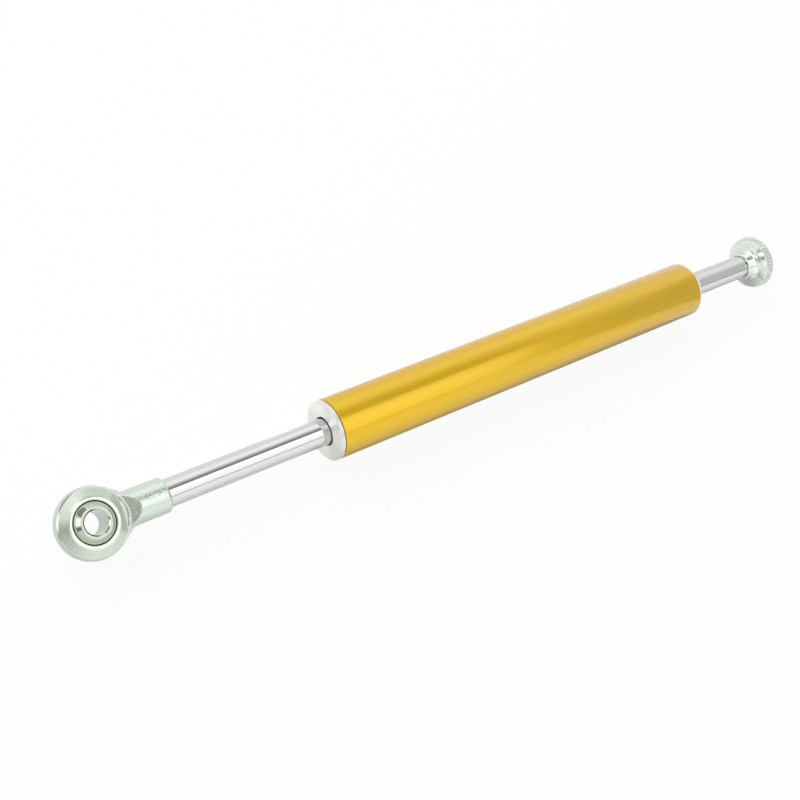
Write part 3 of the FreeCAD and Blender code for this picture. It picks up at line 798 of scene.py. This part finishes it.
@dataclass
class Knob:
    """The bell-shaped adjuster knob with a straight knurl."""

    collar: float = 6.0 * MM
    collar_length: float = 1.15 * MM
    collar_round: float = 0.5 * MM
    neck: float = 5.75 * MM
    bell_length: float = 5.9 * MM
    bell_bend: float = 2.5 * MM
    bell_slope: float = 70.0
    bell_steps: int = 16
    rim_round: float = 0.3 * MM
    rim_flat: float = 0.25 * MM
    back_edge: float = 0.35 * MM
    bore: float = 4.95 * MM
    bore_depth: float = 5.5 * MM
    thread: float = 2.0 * MM
    back_wall: float = 1.2 * MM
    rib_count: int = 46
    rib_depth: float = 0.2 * MM
    # Width of a rib's flat crest, as a share of the pitch.
    rib_crest: float = 0.72
    segments: int = 180

    def build(self) -> None:
        """Builds the turned body and its knurl."""
        low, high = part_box("adjuster_knob")
        front, length, radius = low.x, high.x - low.x, high.z
        floor = radius - self.rib_depth
        rim, back = self.bell_length + self.rim_flat, length - self.back_wall
        # The bell leaves the neck at the flare, bends out to its slope and runs straight to the rim.
        slope, bend = math.radians(self.bell_slope), self.bell_bend
        climb = radius - self.neck - bend * (1 - math.cos(slope))
        flare = self.bell_length - bend * math.sin(slope) - climb / math.tan(slope)
        outline = rounded([
            Corner(0.0, self.bore), Corner(0.0, self.collar, self.collar_round),
            Corner(self.collar_length, self.collar, self.collar_round),
            Corner(self.collar_length, self.neck),
            *arc(flare, self.neck + bend, bend, -90.0, self.bell_slope - 90.0, self.bell_steps),
            Corner(self.bell_length, radius, self.rim_round), Corner(rim, radius),
            Corner(rim, floor), Corner(length, floor, self.back_edge),
            Corner(length, 0.0), Corner(back, 0.0), Corner(back, self.thread),
            Corner(self.bore_depth, self.thread), Corner(self.bore_depth, self.bore),
        ])
        mesh = turn("knob_bell", outline, Axis.ROD, Vector((front, 0.0, 0.0)), self.segments)
        mesh.materials.append(KNOB_METAL.material())
        new_piece("knob_bell", mesh, Body.KNOB, ["adjuster_knob"])
        start, end = front + self.bell_length + self.rim_flat, front + length - self.back_edge
        new_piece("knob_knurl", self.knurl(start, end, radius), Body.KNOB)

    def knurl(self, start: float, end: float, radius: float) -> Mesh:
        """Repeats one rib round the rim with Geometry Nodes.

        Args:
            start: Station of the knurl's front end.
            end: Station of its back end.
            radius: Radius over the ribs.

        Returns:
            The ribs as one plain mesh.
        """
        sizes = {"Count": self.rib_count, "Radius": radius - self.rib_depth, "Depth": self.rib_depth,
                 "Crest": self.rib_crest, "Start": start, "End": end}
        tree = bpy.data.node_groups.new("straight_knurl", "GeometryNodeTree")
        keys = {}
        for name, size in sizes.items():
            kind = "NodeSocketInt" if isinstance(size, int) else "NodeSocketFloat"
            keys[name] = tree.interface.new_socket(name, in_out="INPUT", socket_type=kind).identifier
        tree.interface.new_socket("Geometry", in_out="OUTPUT", socket_type="NodeSocketGeometry")
        self.lay_ribs(tree)
        blank = bpy.data.meshes.new("knurl_draft")
        holder = bpy.data.objects.new("knurl_draft", blank)
        bpy.context.scene.collection.objects.link(holder)
        modifier = holder.modifiers.new("knurl", "NODES")
        modifier.node_group = tree
        for name, size in sizes.items():
            modifier[keys[name]] = size
        graph = bpy.context.evaluated_depsgraph_get()
        mesh = bpy.data.meshes.new_from_object(holder.evaluated_get(graph))
        mesh.name = "knob_knurl"
        holder.modifiers.remove(modifier)
        bpy.data.objects.remove(holder)
        bpy.data.meshes.remove(blank)
        return mesh

    @staticmethod
    def lay_ribs(tree: Tree) -> None:
        """Fills the tree of the knurl.

        Args:
            tree: Tree with the named inputs of the knurl and an output for its geometry.
        """
        given = add_node(tree, "NodeGroupInput").outputs
        # One rib: a trapezium swept from the front end of the knurl to the back, along Z for now.
        step = add_node(tree, MATH, {0: math.tau, 1: given["Count"]}, operation="DIVIDE").outputs[0]
        pitch = add_node(tree, MATH, {0: step, 1: given["Radius"]}, operation="MULTIPLY").outputs[0]
        crest = add_node(tree, MATH, {0: pitch, 1: given["Crest"]}, operation="MULTIPLY").outputs[0]
        section = add_node(tree, "GeometryNodeCurvePrimitiveQuadrilateral", {
            "Height": given["Depth"], "Bottom Width": pitch, "Top Width": crest, "Offset": 0.0,
        }, mode="TRAPEZOID")
        first = add_node(tree, "ShaderNodeCombineXYZ", {"Z": given["Start"]})
        last = add_node(tree, "ShaderNodeCombineXYZ", {"Z": given["End"]})
        path = add_node(tree, "GeometryNodeCurvePrimitiveLine", {
            "Start": first.outputs[0], "End": last.outputs[0],
        })
        rib = add_node(tree, "GeometryNodeCurveToMesh", {
            "Curve": path.outputs["Curve"], "Profile Curve": section.outputs["Curve"], "Fill Caps": True,
        })
        # The ribs stand round the axis, each turned to its own place, and the ring is laid along X.
        half = add_node(tree, MATH, {0: given["Depth"], 1: 0.5}, operation="MULTIPLY").outputs[0]
        stand = add_node(tree, MATH, {0: given["Radius"], 1: half}, operation="ADD").outputs[0]
        ring = add_node(tree, "GeometryNodeMeshCircle", {"Vertices": given["Count"], "Radius": stand})
        index = add_node(tree, "GeometryNodeInputIndex").outputs[0]
        angle = add_node(tree, MATH, {0: index, 1: step}, operation="MULTIPLY").outputs[0]
        heading = add_node(tree, "ShaderNodeCombineXYZ", {"Z": angle})
        copies = add_node(tree, "GeometryNodeInstanceOnPoints", {
            "Points": ring.outputs["Mesh"], "Instance": rib.outputs["Mesh"],
            "Rotation": heading.outputs[0],
        })
        laid = add_node(tree, "GeometryNodeTransform", {
            "Geometry": copies.outputs["Instances"], "Rotation": (0.0, math.pi / 2, 0.0),
        })
        real = add_node(tree, "GeometryNodeRealizeInstances", {"Geometry": laid.outputs["Geometry"]})
        dressed = add_node(tree, "GeometryNodeSetMaterial", {
            "Geometry": real.outputs["Geometry"], "Material": KNURL_METAL.material(),
        })
        add_node(tree, "NodeGroupOutput", {"Geometry": dressed.outputs["Geometry"]})


class Pieces:
    """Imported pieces, which get a finish by their slot; those that no new piece stands for show it."""

    FINISHES: dict[Slot, Finish] = {
        Slot.CAP: CAP_METAL, Slot.CHROME: CHROME, Slot.RUBBER: RUBBER, Slot.BEARING: BALL_STEEL,
        Slot.BARREL: GOLD, Slot.ZINC: SHANK_ZINC, Slot.KNOB: KNOB_METAL, **INNER_FINISHES,
    }

    def dress(self) -> None:
        """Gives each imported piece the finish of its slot."""
        for name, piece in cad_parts.items():
            for slot in piece.material_slots:
                finish = self.FINISHES[Slot(slot.material.name.split(".")[0])]
                slot.material = finish.material()
            log.info("%s: dressed", name)


# A panel that faces along the rod by more than this share stands upright.
FACES_ALONG = 0.9


@dataclass(frozen=True)
class Panel:
    """A flat panel or card of the studio, which only mirrors see; it glows on both sides."""

    name: str
    centre: Triple
    facing: Triple
    width: float
    length: float
    colour: str
    strength: float
    fade_colour: str = ""
    fade_strength: float = 0.0

    def build(self) -> None:
        """Makes the panel, with its length along the rod, or upright where it faces along the rod."""
        facing = Vector(self.facing).normalized()
        along = Vector((1.0, 0.0, 0.0)) if abs(facing.x) < FACES_ALONG else Vector((0.0, 0.0, 1.0))
        along = (along - facing * along.dot(facing)).normalized()
        across = along.cross(facing)
        middle = Vector(self.centre)
        spots = [
            middle + across * (self.width / 2 * a) + along * (self.length / 2 * b) for a, b in SQUARE
        ]
        mesh = bpy.data.meshes.new(self.name)
        mesh.from_pydata(spots, [], [(0, 1, 2, 3)])
        mesh.materials.append(self.material())
        shares = mesh.attributes.new("fade", "FLOAT", "POINT")
        shares.data.foreach_set("value", [float(a > 0) for a, _ in SQUARE])
        panel = bpy.data.objects.new(self.name, mesh)
        panel.visible_camera = False
        panel.visible_diffuse = False
        panel.visible_shadow = False
        bpy.context.scene.collection.objects.link(panel)

    def material(self) -> Material:
        """Builds the glow of the panel, which may fade across its width.

        Returns:
            The material.
        """
        made = bpy.data.materials.new(self.name)
        made.use_nodes = True
        tree = made.node_tree
        tree.nodes.clear()
        glow = add_node(tree, "ShaderNodeEmission", {
            "Color": linear(self.colour), "Strength": self.strength,
        })
        if self.fade_colour:
            share = add_node(tree, "ShaderNodeAttribute", attribute_name="fade").outputs["Fac"]
            tint = add_node(tree, "ShaderNodeMix", {
                "Factor": share, "A": linear(self.colour), "B": linear(self.fade_colour),
            }, data_type="RGBA")
            level = add_node(tree, "ShaderNodeMix", {
                "Factor": share, "A": self.strength, "B": self.fade_strength,
            }, data_type="FLOAT")
            tree.links.new(tint.outputs["Result"], glow.inputs["Color"])
            tree.links.new(level.outputs["Result"], glow.inputs["Strength"])
        add_node(tree, "ShaderNodeOutputMaterial", {"Surface": glow.outputs["Emission"]})
        return made


DOWN = (0.0, 0.0, -1.0)
CEILING = 0.6
# The cards lie just over the table, and the one under the front cap lies over its neighbour.
CARD_HEIGHT = -0.01125
TOP_CARD_HEIGHT = -0.01122
PANELS = (
    # Over the damper: a softbox with its dark frame and flag, and the tent's pale ceiling.
    Panel("softbox", (-0.01, -0.075, CEILING), DOWN, 0.63, 0.88, WHITE, 1.15, WHITE, 1.5),
    Panel("dark_flag", (0.2, 0.62, CEILING), DOWN, 0.76, 0.6, "8A8790", 0.7, WHITE, 1.25),
    Panel("softbox_frame", (-0.02, -0.4175, CEILING), DOWN, 0.055, 0.86, "808080", 0.5),
    Panel("side_ceiling", (0.12, -0.97, CEILING), DOWN, 1.05, 0.96, WHITE, 1.09),
    Panel("ceiling_end", (0.7, 0.62, CEILING), DOWN, 0.8, 0.4, WHITE, 0.72, WHITE, 1.0),
    # Walls behind the knob and beside the barrel.
    Panel("back_wall", (0.9, -0.04, 0.9), (-1.0, 0.0, 0.0), 0.98, 1.8, WHITE, 0.64),
    Panel("wall_edge", (0.9, -0.555, 0.9), (-1.0, 0.0, 0.0), 0.05, 1.8, "909090", 1.0),
    Panel("side_wall", (0.3, 1.1, 0.35), (0.0, -1.0, 0.0), 0.5, 1.6, WHITE, 1.14),
    # Dark shapes round the camera, a softbox beside it, and a lamp and flags about the rod end.
    Panel("camera_side", (-0.75, -0.35, 0.62), (0.75, 0.0, -0.62), 1.3, 0.4, WHITE, 0.95, WHITE, 0.4),
    Panel("camera_body", (-0.28, 0.07, 0.47), (0.28, -0.06, -0.96), 0.24, 0.16, WHITE, 0.35),
    Panel("camera_stand", (-0.64, 0.155, 0.57), (0.62, -0.2, -0.76), 0.26, 0.24, WHITE, 0.2),
    Panel("side_softbox", (-0.18, 0.7, 0.62), (0.25, -0.68, -0.6), 0.6, 0.74, WHITE, 1.45),
    Panel("front_lamp", (-0.45, 0.13, 0.14), (0.9, -0.45, 0.0), 0.28, 0.16, WHITE, 1.9),
    Panel("lamp_flag", (-0.311, 0.27, 0.09), (0.44, -0.9, 0.0), 0.2, 0.16, WHITE, 0.3),
    Panel("cap_flag", (-0.2065, 0.09, 0.024), (0.77, -0.6, -0.1), 0.07, 0.06, WHITE, 0.4),
    Panel("end_flag", (-0.48, -0.015, 0.09), (1.0, 0.03, 0.0), 0.08, 0.2, WHITE, 0.3),
    # Painted reflections: glowing cards on the table, which only mirrors see, under the rod end, beside
    # the barrel and under the front cap. They paint the table's light and shade into the metal: darker
    # towards -Y under the rod end and the front cap, and a painted shadow beside the barrel that darkens
    # towards it.
    Panel("floor_shade_card", (-0.2, 0.0, CARD_HEIGHT), DOWN, 0.08, 0.21, WHITE, 0.62, WHITE, 1.02),
    Panel("barrel_shadow_card", (0.01, -0.0375, CARD_HEIGHT), DOWN, 0.05, 0.185, WHITE, 0.88, WHITE, 0.2),
    Panel("cap_shade_card", (-0.0985, 0.002, TOP_CARD_HEIGHT), DOWN, 0.03, 0.015, WHITE, 0.66, WHITE, 1.2),
)


def looking(place: Vector, aim: Vector) -> Matrix:
    """Place and turn of a lamp or camera.

    Args:
        place: Where it stands.
        aim: Point that it looks at.

    Returns:
        Its matrix in the world.
    """
    return Matrix.Translation(place) @ (aim - place).to_track_quat("-Z", "Y").to_matrix().to_4x4()


@dataclass
class Studio:
    """White table in a light tent, a key light, panels that the metal mirrors, and the camera."""

    panels: Sequence[Panel]
    camera_place: Triple = (-0.29986, 0.02531, 0.40998)
    camera_aim: Triple = (-0.05752, 0.00043, 0.0)
    camera_roll: float = 75.22
    lens: float = 59.05
    sensor: float = 36.0
    table_size: float = 8.0
    table_gap: float = 0.2 * MM
    table_albedo: float = 0.92
    seen_shadow: float = 0.07
    mirrored_shadow: float = 0.95
    tent_level: float = 1.0
    fill_level: float = 0.43
    key_power: float = 37.0
    key_place: Triple = (-0.6, 1.4, 1.05)
    key_size: tuple[float, float] = (2.2, 0.75)

    def build(self) -> None:
        """Builds the table, the tent, the panels, the key light and the camera."""
        self.build_table()
        self.build_tent()
        for panel in self.panels:
            panel.build()
        self.build_key()
        self.build_camera()

    def build_table(self) -> None:
        """Lays a white table under the lowest point of the damper."""
        half, height = self.table_size / 2, cad_box[0].z - self.table_gap
        mesh = bpy.data.meshes.new("white_table")
        mesh.from_pydata([(x * half, y * half, height) for x, y in SQUARE], [], [(0, 1, 2, 3)])
        mesh.materials.append(self.table_material())
        table = bpy.data.objects.new("white_table", mesh)
        bpy.context.scene.collection.objects.link(table)

    def table_material(self) -> Material:
        """Builds the white of the table.

        The camera sees an even white with a faint shadow, mirrors see nearly the whole shadow, and the
        light that the table sends on to the damper is that of plain white paint.

        Returns:
            The material.
        """
        made = bpy.data.materials.new("white_table")
        made.use_nodes = True
        tree = made.node_tree
        tree.nodes.clear()
        ray = add_node(tree, "ShaderNodeLightPath").outputs
        share = add_node(tree, "ShaderNodeMapRange", {
            "Value": ray["Is Camera Ray"], "To Min": self.mirrored_shadow, "To Max": self.seen_shadow,
        }).outputs["Result"]
        even = add_node(tree, MATH, {0: 1.0, 1: share}, operation="SUBTRACT").outputs[0]
        glow = add_node(tree, "ShaderNodeEmission", {"Color": linear(WHITE), "Strength": even})
        lit = add_node(tree, MATH, {0: share, 1: self.table_albedo}, operation="MULTIPLY").outputs[0]
        shadowed = add_node(tree, "ShaderNodeBsdfDiffuse", {"Color": lit})
        shown = add_node(tree, "ShaderNodeAddShader", {0: glow.outputs[0], 1: shadowed.outputs[0]})
        plain = add_node(tree, "ShaderNodeBsdfDiffuse", {"Color": (self.table_albedo,) * 3 + (1.0,)})
        either = add_node(tree, MATH, {
            0: ray["Is Camera Ray"], 1: ray["Is Glossy Ray"],
        }, operation="MAXIMUM").outputs[0]
        any_ray = add_node(tree, MATH, {
            0: either, 1: ray["Is Transmission Ray"],
        }, operation="MAXIMUM").outputs[0]
        mixed = add_node(tree, "ShaderNodeMixShader", {
            0: any_ray, 1: plain.outputs[0], 2: shown.outputs[0],
        })
        add_node(tree, "ShaderNodeOutputMaterial", {"Surface": mixed.outputs[0]})
        return made

    def build_tent(self) -> None:
        """Surrounds the table with a white tent, whose fill leaves over half of the light to the key."""
        world = bpy.data.worlds.new("light_tent")
        world.use_nodes = True
        tree = world.node_tree
        tree.nodes.clear()
        level = add_node(tree, "ShaderNodeMapRange", {
            "Value": add_node(tree, "ShaderNodeLightPath").outputs["Is Diffuse Ray"],
            "To Min": self.tent_level, "To Max": self.fill_level,
        })
        glow = add_node(tree, "ShaderNodeBackground", {
            "Color": linear(WHITE), "Strength": level.outputs["Result"],
        })
        add_node(tree, "ShaderNodeOutputWorld", {"Surface": glow.outputs["Background"]})
        bpy.context.scene.world = world

    def build_key(self) -> None:
        """Hangs the key light beside the table; it throws the soft shadow that the metal mirrors."""
        data = bpy.data.lights.new("key_light", "AREA")
        data.shape = "RECTANGLE"
        data.size, data.size_y = self.key_size
        data.energy = self.key_power
        lamp = bpy.data.objects.new("key_light", data)
        lamp.matrix_world = looking(Vector(self.key_place), Vector())
        lamp.visible_glossy = False
        bpy.context.scene.collection.objects.link(lamp)

    def build_camera(self) -> None:
        """Sets the camera where the picture was taken from."""
        data = bpy.data.cameras.new("camera")
        data.lens, data.sensor_width = self.lens, self.sensor
        camera = bpy.data.objects.new("camera", data)
        roll = Matrix.Rotation(math.radians(self.camera_roll), 4, "Z")
        camera.matrix_world = looking(Vector(self.camera_place), Vector(self.camera_aim)) @ roll
        bpy.context.scene.collection.objects.link(camera)
        bpy.context.scene.camera = camera
        bpy.context.scene.view_settings.view_transform = "Standard"


def main() -> None:
    """Dresses the damper and sets up the picture."""
    logging.basicConfig(level=logging.INFO, format="%(name)s: %(message)s")
    Pieces().dress()
    Barrel().build()
    RodEnd().build()
    Knob().build()
    Studio(panels=PANELS).build()


if __name__ == "__main__":
    main()
